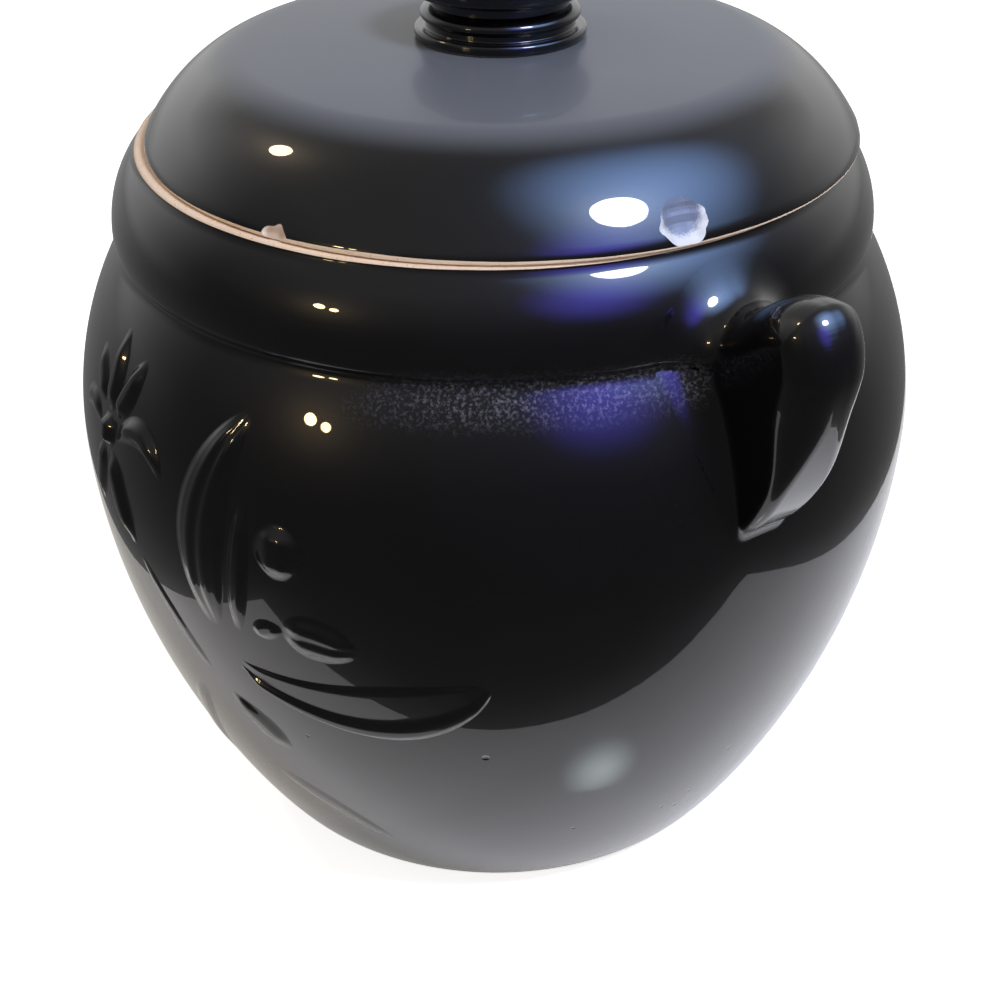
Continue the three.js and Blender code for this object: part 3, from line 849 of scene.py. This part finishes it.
lid_edge = Vector((lid_radius, lid_seat + LID_BARE_EDGE))
lid_crown = Vector((LID_CROWN_RADIUS, lid_top - LID_CROWN_DROP))
lid_slope = Vector((-math.cos(LID_EDGE_SLOPE), math.sin(LID_EDGE_SLOPE))) * LID_EDGE_RUN
crown_fall = Vector((LID_CROWN_RUN, -LID_CROWN_RUN * math.tan(LID_CROWN_SLOPE)))
crown_middle = (LID_CROWN_RADIUS + LID_TOP_RADIUS) / 2
seat_inner = Vector((lid_radius - LID_SEAT_WIDTH, lid_seat))
ceiling = Vector((LID_CROWN_RADIUS - LID_CROWN_RUN, lid_top - LID_WALL))
seat_outer = Vector((lid_radius - LID_EDGE_ROUND, lid_seat))
bare_foot = Vector((lid_radius, lid_seat + LID_EDGE_ROUND))

underside = [seat_inner]
underside += curve_points(
    [seat_inner, seat_inner + lid_slope, ceiling + Vector((LID_CROWN_RUN, 0)), ceiling], 2 * PROFILE_PITCH
)
underside.append(Vector((0, ceiling.y)))
outline = list(reversed(underside))
outline.append(seat_outer)
outline += curve_points([seat_outer, (lid_radius, lid_seat), bare_foot], LID_EDGE_ROUND / 3)
outline += curve_points([bare_foot, lid_edge], LID_BARE_EDGE / 3)
dome = [lid_edge]
dome += curve_points([lid_edge, lid_edge + lid_slope, lid_crown + crown_fall, lid_crown], PROFILE_PITCH / 2)
dome += curve_points([lid_crown, (crown_middle, lid_top), (LID_TOP_RADIUS, lid_top)], PROFILE_PITCH)
dome += curve_points([dome[-1], (0, lid_top)], 4 * PROFILE_PITCH)
outline += dome[1:]

lid = turned("lid_shell", outline, TURN_STEPS, lid_centre)
lid.data.materials.append(glaze)
lid.data.materials.append(clay)
for face in lid.data.polygons:
    radius = math.hypot(face.center.x - lid_centre[0], face.center.y - lid_centre[1])
    if face.center.z < lid_edge.y and radius > seat_inner.x - SAME_POINT:
        face.material_index = 1
for vertex in lid.data.vertices:
    off_axis = vertex.co.xy - Vector(lid_centre)
    bare_share = (vertex.co.z - bare_foot.y) / (lid_edge.y - bare_foot.y)
    if off_axis.length > lid_radius - SAME_POINT and 0 < bare_share < 1 + SAME_POINT:
        azimuth = math.atan2(off_axis.y, off_axis.x)
        off_front = math.remainder(azimuth - LID_BARE_MIDDLE, math.tau) / LID_BARE_SPREAD
        bare = LID_BARE_LEAST + (1 - LID_BARE_LEAST) * math.exp(-(off_front**2))
        reach = bare * (LID_BARE_EDGE - LID_EDGE_ROUND) + GLAZE_WANDER * wander(azimuth, 0.4)
        vertex.co.z = bare_foot.y + bare_share * reach

# Freshly broken stoneware: fine grained and half matt, each chip in a tone of its own, bluish grey on the
# broad chip and pinkish on the small one, with a crust of crushed white glaze round its border. Each chip:
# its name, azimuth in degrees, height, half width, depth, ripple, tone and crust.
CHIPS = (
    ("broad_chip", -6.6, 0.2038, 0.0056, 0.0013, 0.0001, "#6f7890", "#d4d7de"),
    ("small_chip", -64.9, 0.198, 0.0033, 0.001, 0.00014, "#c9b3a2", "#e6dace"),
)
CHIP_GRAIN = 0.0005
CHIP_LEAN = 0.45
CHIP_WAVES = (1700, 1350, 2300)
CHIP_GRIT = 0.0001
CHIP_CRUST_START = 0.92
CHIP_CRUST_FULL = 1.15
CHIP_SEGMENTS = 96
CHIP_RINGS = 48

for name, azimuth, height, half_width, depth, ripple, tone, crust in CHIPS:
    radius = (half_width**2 + depth**2) / (2 * depth)
    foothold = next(point for point in dome if point.y > height)
    round_here = Vector((math.cos(math.radians(azimuth)), math.sin(math.radians(azimuth)), 0))
    out = (round_here + Vector((0, 0, CHIP_LEAN))).normalized()
    spot = Vector((*lid_centre, foothold.y)) + round_here * foothold.x
    hollow = spot + out * (radius - depth)

    broken = bpy.data.materials.new("broken_stoneware_" + name)
    broken.use_nodes = True
    tree = broken.node_tree
    place = add_node(tree, "ShaderNodeTexCoord").outputs["Object"]
    grain = add_node(tree, "ShaderNodeTexNoise", {"Vector": place, "Scale": 1 / CHIP_GRAIN, "Detail": 4})
    away = add_node(tree, "ShaderNodeVectorMath", {0: place, 1: spot}, operation="DISTANCE")
    ragged = add_node(
        tree,
        "ShaderNodeMath",
        {0: grain.outputs["Fac"], 1: half_width / 3, 2: away.outputs["Value"]},
        operation="MULTIPLY_ADD",
    )
    border = add_node(
        tree,
        "ShaderNodeMapRange",
        {
            "Value": ragged.outputs["Value"],
            "From Min": CHIP_CRUST_START * half_width,
            "From Max": CHIP_CRUST_FULL * half_width,
        },
    )
    pale = add_node(
        tree,
        "ShaderNodeMix",
        {"Factor": border.outputs["Result"], COLOUR_A: linear(tone), COLOUR_B: linear(crust)},
        data_type="RGBA",
    )
    gritty = add_node(
        tree,
        "ShaderNodeBump",
        {"Strength": 0.5, "Distance": CHIP_GRIT, "Height": grain.outputs["Fac"]},
    )
    shader = tree.nodes["Principled BSDF"]
    shader.inputs["Roughness"].default_value = 0.5
    tree.links.new(pale.outputs[MIXED], shader.inputs["Base Color"])
    tree.links.new(gritty.outputs["Normal"], shader.inputs["Normal"])

    bpy.ops.object.select_all(action="DESELECT")
    bpy.ops.mesh.primitive_uv_sphere_add(
        segments=CHIP_SEGMENTS, ring_count=CHIP_RINGS, radius=radius, location=hollow
    )
    cutter = bpy.context.object
    bpy.ops.object.transform_apply(location=True, rotation=True, scale=True)
    cutter.data.materials.append(broken)
    for vertex in cutter.data.vertices:
        unevenness = sum(math.sin(wave * along) for wave, along in zip(CHIP_WAVES, vertex.co))
        vertex.co += (hollow - vertex.co).normalized() * ripple * unevenness
    cut = lid.modifiers.new(name, "BOOLEAN")
    cut.operation = "DIFFERENCE"
    cut.solver = "EXACT"
    cut.object = cutter
    cut.material_mode = "TRANSFER"
    bpy.context.view_layer.objects.active = lid
    bpy.ops.object.modifier_apply(modifier=name)
    bpy.data.objects.remove(cutter)
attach(lid, "lid")
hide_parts("lid_dome")


# Lid flange
# The bare ring under the dome that drops into the mouth and keeps the lid from sliding off.
flange_low, flange_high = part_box("lid_flange")
FLANGE_WIDTH = 0.005
FLANGE_BEVEL = 0.0008

flange_radius = (flange_high.x - flange_low.x) / 2
flange_outline = ring_outline(
    flange_radius, FLANGE_WIDTH, flange_high.z, flange_low.z, FLANGE_BEVEL
)
flange = turned("flange_ring", flange_outline, TURN_STEPS, lid_centre)
flange.data.materials.append(clay)
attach(flange, "lid")
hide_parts("lid_flange")


# Knob
# The turned knob, luted on to the middle of the lid: base ring, waist, collar, neck and rounded cap.
knob_low, knob_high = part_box("lid_knob")
KNOB_BASE_RADIUS = 0.0214
KNOB_BASE_HEIGHT = 0.0024
KNOB_BASE_ROUND = 0.0011
KNOB_WAIST_RADIUS = 0.0186
KNOB_WAIST_HEIGHT = 0.0014
KNOB_COLLAR_RADIUS = 0.0198
KNOB_COLLAR_HEIGHT = 0.004
KNOB_NECK_RADIUS = 0.0173
KNOB_NECK_HEIGHT = 0.006
KNOB_CAP_RADIUS = 0.023
KNOB_EDGE_ROUND = 0.0005
KNOB_PITCH = 0.0006
KNOB_STEPS = 160

knob_foot = lid_top - KNOB_BASE_ROUND
base_top = knob_low.z + KNOB_BASE_HEIGHT
collar_foot = base_top + KNOB_WAIST_HEIGHT
collar_top = collar_foot + KNOB_COLLAR_HEIGHT
collar_pull = 2 * KNOB_COLLAR_RADIUS - (KNOB_WAIST_RADIUS + KNOB_NECK_RADIUS) / 2
cap_foot = collar_top + KNOB_NECK_HEIGHT
knob_top = knob_high.z
base_edge = Vector((KNOB_BASE_RADIUS, base_top))
waist = Vector((KNOB_WAIST_RADIUS, base_top))
neck = Vector((KNOB_NECK_RADIUS, collar_top))
cap = Vector((KNOB_CAP_RADIUS, cap_foot))
inset = Vector((KNOB_EDGE_ROUND, 0))
lift = Vector((0, KNOB_EDGE_ROUND))
outline = [Vector((0, knob_foot)), Vector((KNOB_BASE_RADIUS - KNOB_BASE_ROUND, knob_foot))]
outline.append(Vector((KNOB_BASE_RADIUS - KNOB_BASE_ROUND, knob_low.z)))
outline += curve_points(
    [outline[-1], (KNOB_BASE_RADIUS, knob_low.z), (KNOB_BASE_RADIUS, knob_low.z + KNOB_BASE_ROUND)],
    KNOB_BASE_ROUND / 4,
)
bead = Vector((0, KNOB_BASE_ROUND))
outline += curve_points([outline[-1], base_edge - bead], KNOB_PITCH)
outline += curve_points([base_edge - bead, base_edge, base_edge - bead.yx], KNOB_BASE_ROUND / 4)
outline += curve_points([outline[-1], waist + inset], KNOB_PITCH)
outline += curve_points([waist + inset, waist, waist + lift], KNOB_EDGE_ROUND / 3)
outline += curve_points([outline[-1], (KNOB_WAIST_RADIUS, collar_foot)], KNOB_PITCH / 2)
outline += curve_points([outline[-1], (collar_pull, (collar_foot + collar_top) / 2), neck], KNOB_PITCH / 2)
outline += curve_points([neck, (neck.x, cap.y), (cap.x, neck.y), cap], KNOB_PITCH)
outline += curve_points(
    [cap, (cap.x, (cap.y + knob_top) / 2), (cap.x / 2, knob_top), (0, knob_top)], KNOB_PITCH
)
knob = turned("knob_turned", outline, KNOB_STEPS, lid_centre)
knob.data.materials.append(glaze)
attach(knob, "lid")
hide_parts("lid_knob")


# Studio
# A pale floor that keeps the jar's shadow, a round main lamp, small warm lamps and an even sky. A dim room
# of glowing walls, no lamps, that only reflections see stands round the jar: its painted light is dark near
# the camera and pale on the far side.
FLOOR_SIZE = 12
FLOOR_GLOW = 0.8
MIRRORED_FLOOR_GLOW = 0.25
SKY_FILL = 0.35
AIM = Vector((0, 0, 0.12))
ROOM_HALF_WIDTH = 1.3
ROOM_HEIGHT = 1.5
SHEET_LEFT = -0.2
SHEET_RIGHT = 0.235
SHEET_NEAR = -0.158
SHEET_FAR = 0.4
CARD_LIFT = 0.0005
ROOM_NEAR = -0.2
ROOM_FAR = 0.9

bpy.ops.object.select_all(action="DESELECT")
bpy.ops.mesh.primitive_plane_add(size=FLOOR_SIZE)
floor = bpy.context.object
floor.name = "floor"
paper = bpy.data.materials.new("white_paper_floor")
paper.use_nodes = True
tree = paper.node_tree
tree.nodes.clear()
path = add_node(tree, "ShaderNodeLightPath").outputs
mirrored = add_node(
    tree,
    "ShaderNodeMath",
    {0: path["Is Glossy Ray"], 1: path["Is Transmission Ray"]},
    operation="MAXIMUM",
)
seen = add_node(tree, "ShaderNodeMath", {0: path["Is Camera Ray"], 1: FLOOR_GLOW}, operation="MULTIPLY")
glow = add_node(
    tree,
    "ShaderNodeMath",
    {0: mirrored.outputs["Value"], 1: MIRRORED_FLOOR_GLOW, 2: seen.outputs["Value"]},
    operation="MULTIPLY_ADD",
)
lit = add_node(tree, "ShaderNodeEmission", {"Color": linear("#ffffff"), "Strength": glow.outputs["Value"]})
sheet = add_node(tree, "ShaderNodeBsdfDiffuse", {"Color": linear("#f3f3f3")})
whole = add_node(tree, "ShaderNodeAddShader", {0: lit.outputs[0], 1: sheet.outputs[0]})
add_node(tree, "ShaderNodeOutputMaterial", {"Surface": whole.outputs[0]})
floor.data.materials.append(paper)

world = bpy.data.worlds.new("studio")
world.use_nodes = True
bpy.context.scene.world = world
tree = world.node_tree
tree.nodes.clear()
path = add_node(tree, "ShaderNodeLightPath").outputs
mirrored = add_node(
    tree,
    "ShaderNodeMath",
    {0: path["Is Glossy Ray"], 1: path["Is Transmission Ray"]},
    operation="MAXIMUM",
)
shown = add_node(
    tree,
    "ShaderNodeMath",
    {0: path["Is Camera Ray"], 1: mirrored.outputs["Value"]},
    operation="MAXIMUM",
)
level = add_node(
    tree,
    "ShaderNodeMapRange",
    {"Value": shown.outputs["Value"], "To Min": SKY_FILL, "To Max": 1},
)
sky = add_node(
    tree,
    "ShaderNodeBackground",
    {"Color": linear("#ffffff"), "Strength": level.outputs["Result"]},
)
add_node(tree, "ShaderNodeOutputWorld", {"Surface": sky.outputs[0]})


# Glowing walls of the room, seen only in reflections: their painted light falls off downwards, and towards
# the camera's side.
NEAR_WALL = ((0, 0.1), (0.2, 0.12), (0.55, 0.25), (0.9, 0.36))
FAR_WALL = ((0, 0.3), (0.12, 0.62), (0.45, 0.95), (0.9, 0.5))

dim = bpy.data.materials.new("dim_room_glow")
dim.use_nodes = True
tree = dim.node_tree
tree.nodes.clear()
place = add_node(tree, "ShaderNodeTexCoord").outputs["Object"]
height_here = add_node(tree, "ShaderNodeSeparateXYZ", {"Vector": place}).outputs["Z"]
share = add_node(tree, "ShaderNodeMapRange", {"Value": height_here, "From Max": ROOM_HEIGHT})
away = Vector((-math.sin(VIEW_AZIMUTH), math.cos(VIEW_AZIMUTH), 0))
depth_here = add_node(tree, "ShaderNodeVectorMath", {0: place, 1: away}, operation="DOT_PRODUCT")
far_share = add_node(
    tree,
    "ShaderNodeMapRange",
    {"Value": depth_here.outputs["Value"], "From Min": ROOM_NEAR, "From Max": ROOM_FAR},
    interpolation_type="SMOOTHSTEP",
)
tones = []
for stops in (NEAR_WALL, FAR_WALL):
    ramp = add_node(tree, "ShaderNodeValToRGB", {"Fac": share.outputs["Result"]})
    ramp.color_ramp.elements.remove(ramp.color_ramp.elements[1])
    for index, (position, brightness) in enumerate(stops):
        stop = ramp.color_ramp.elements.new(position) if index else ramp.color_ramp.elements[0]
        stop.position = position
        stop.color = (brightness, brightness, brightness, 1)
    tones.append(ramp.outputs["Color"])
wall = add_node(
    tree,
    "ShaderNodeMix",
    {"Factor": far_share.outputs["Result"], COLOUR_A: tones[0], COLOUR_B: tones[1]},
    data_type="RGBA",
)
lit = add_node(tree, "ShaderNodeEmission", {"Color": wall.outputs[MIXED]})
add_node(tree, "ShaderNodeOutputMaterial", {"Surface": lit.outputs[0]})

sheet_middle = ((SHEET_LEFT + SHEET_RIGHT) / 2, (SHEET_NEAR + SHEET_FAR) / 2)
sheet_size = (SHEET_RIGHT - SHEET_LEFT, SHEET_FAR - SHEET_NEAR)
widening = [2 * ROOM_HALF_WIDTH / length for length in sheet_size]
bpy.ops.object.select_all(action="DESELECT")
bpy.ops.mesh.primitive_plane_add(size=1)
room = bpy.context.object
room.name = "dim_room"
bpy.ops.object.mode_set(mode="EDIT")
bpy.ops.transform.resize(value=(*sheet_size, 1))
bpy.ops.transform.translate(value=(*sheet_middle, CARD_LIFT))
bpy.ops.mesh.delete(type="ONLY_FACE")
bpy.ops.mesh.select_all(action="SELECT")
bpy.ops.mesh.extrude_region_move(TRANSFORM_OT_translate={"value": (-sheet_middle[0], -sheet_middle[1], 0)})
bpy.ops.transform.resize(value=(*widening, 1))
bpy.ops.mesh.extrude_region_move(TRANSFORM_OT_translate={"value": (0, 0, ROOM_HEIGHT)})
bpy.ops.mesh.edge_face_add()
bpy.ops.object.mode_set(mode="OBJECT")
room.data.transform(Matrix.Rotation(VIEW_AZIMUTH, 4, "Z"))
room.data.materials.append(dim)

# Glowing cards that only the glaze shows, no lamps, each brightest in its middle and clear at its edge,
# which paint
# reflections: a bluish one behind the main lamp paints a haze round its highlight, a violet one lower down
# paints a violet sheen on the shoulder, and a small one on the floor paints a pool of lamp light, seen as a
# glint on the belly.
# Each: its name, azimuth, elevation, distance, radius, strength and colour.
GLOW_CARD_SIDES = 64
GLOW_CARDS = (
    ("blue_glow_card", 62, 55, 1.06, 0.74, 9.5, "#94bcff"),
    ("violet_glow_card", 30, 34, 1.06, 0.42, 5.5, "#665cff"),
    ("floor_glow_card", 20.6, -41.9, 0.165, 0.02, 2.2, "#e2f2f4"),
)


def towards(azimuth, elevation):
    """The way to a lamp, from its angle to the right of the camera and its angle above the floor."""
    turn = VIEW_AZIMUTH + math.radians(azimuth)
    level = math.cos(math.radians(elevation))
    return Vector((math.sin(turn) * level, -math.cos(turn) * level, math.sin(math.radians(elevation))))


cards = [room]
for name, azimuth, elevation, distance, radius, strength, colour in GLOW_CARDS:
    way = towards(azimuth, elevation)
    middle = AIM + way * distance
    haze = bpy.data.materials.new(name + "_cloth")
    haze.use_nodes = True
    tree = haze.node_tree
    tree.nodes.clear()
    place = add_node(tree, "ShaderNodeTexCoord").outputs["Object"]
    off = add_node(tree, "ShaderNodeVectorMath", {0: place, 1: middle}, operation="DISTANCE")
    fade = add_node(
        tree,
        "ShaderNodeMapRange",
        {"Value": off.outputs["Value"], "From Max": radius, "To Min": strength, "To Max": 0},
        interpolation_type="SMOOTHSTEP",
    )
    lit = add_node(
        tree,
        "ShaderNodeEmission",
        {"Color": linear(colour), "Strength": fade.outputs["Result"]},
    )
    clear = add_node(tree, "ShaderNodeBsdfTransparent")
    both = add_node(tree, "ShaderNodeAddShader", {0: lit.outputs[0], 1: clear.outputs[0]})
    add_node(tree, "ShaderNodeOutputMaterial", {"Surface": both.outputs[0]})
    bpy.ops.object.select_all(action="DESELECT")
    bpy.ops.mesh.primitive_circle_add(vertices=GLOW_CARD_SIDES, radius=radius, fill_type="NGON")
    card = bpy.context.object
    card.name = name
    card.data.transform(Matrix.Translation(middle) @ way.to_track_quat("Z", "Y").to_matrix().to_4x4())
    card.data.materials.append(haze)
    cards.append(card)
for card in cards:
    card.visible_camera = False
    card.visible_diffuse = False
    card.visible_transmission = False
    card.visible_volume_scatter = False
    card.visible_shadow = False

# Disc lamps, each by its name, azimuth, elevation, distance, size, watts and colour.
LAMPS = (
    ("main_lamp", 46, 52, 1.0, 0.24, 6.5, "#eef0ff"),
    ("warm_lamp_left", -47.5, 20, 0.9, 0.05, 0.45, "#ffdca0"),
    ("warm_lamp_right", -43, 19.5, 0.9, 0.04, 0.26, "#ffdca0"),
    ("warm_lamp_high", -108, 49, 0.9, 0.09, 0.75, "#ffe2b4"),
)
for name, azimuth, elevation, distance, size, watts, colour in LAMPS:
    way = towards(azimuth, elevation)
    lamp_data = bpy.data.lights.new(name, "AREA")
    lamp_data.shape = "DISK"
    lamp_data.size = size
    lamp_data.energy = watts
    lamp_data.color = linear(colour)[:3]
    lamp = bpy.data.objects.new(name, lamp_data)
    lamp.location = AIM + way * distance
    lamp.rotation_mode = "QUATERNION"
    lamp.rotation_quaternion = (-way).to_track_quat("-Z", "Y")
    bpy.context.scene.collection.objects.link(lamp)

bpy.context.scene.view_settings.view_transform = "Standard"
